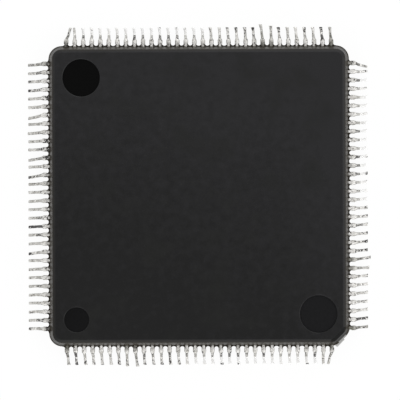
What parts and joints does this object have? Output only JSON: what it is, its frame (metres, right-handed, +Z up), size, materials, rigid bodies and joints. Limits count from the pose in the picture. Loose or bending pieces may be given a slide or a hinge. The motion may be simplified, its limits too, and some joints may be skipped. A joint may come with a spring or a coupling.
{
  "type": "integrated circuit",
  "caption": "Square flat-pack integrated circuit: dark moulded body with fine gull-wing leads along four sides, some bent by use, for surface soldering.",
  "frame": {"origin": "middle of the package on its seating plane, level with the soles of the feet", "axes": "+Z up through the marked top face, +Y towards the back row, +X towards the right row, with the index mark at the front left"},
  "size_m": [0.0161, 0.0161, 0.0015],
  "materials": {
    "moulding_resin": "fine matt epoxy moulding compound, smoother in the round marks",
    "tinned_lead": "tin plating with traces of old solder, dull and spotted",
    "frame_copper": "stamped copper alloy",
    "die_adhesive": "silver-filled adhesive film",
    "die_silicon": "polished silicon",
    "bond_gold": "drawn gold wire"
  },
  "bodies": {
    "root": {"mould_body": "moulding_resin", "leads_front_a": "tinned_lead", "leads_front_b": "tinned_lead", "leads_front_c": "tinned_lead", "leads_front_d": "tinned_lead", "leads_right_a": "tinned_lead", "leads_right_b": "tinned_lead", "leads_right_c": "tinned_lead", "leads_right_d": "tinned_lead", "leads_back_a": "tinned_lead", "leads_back_b": "tinned_lead", "leads_back_c": "tinned_lead", "leads_back_d": "tinned_lead", "leads_left_a": "tinned_lead", "leads_left_b": "tinned_lead", "leads_left_c": "tinned_lead", "leads_left_d": "tinned_lead", "die_paddle": "frame_copper", "die_attach": "die_adhesive", "silicon_die": "die_silicon", "bond_wires_front": "bond_gold", "bond_wires_right": "bond_gold", "bond_wires_back": "bond_gold", "bond_wires_left": "bond_gold"}
  },
  "joints": []
}
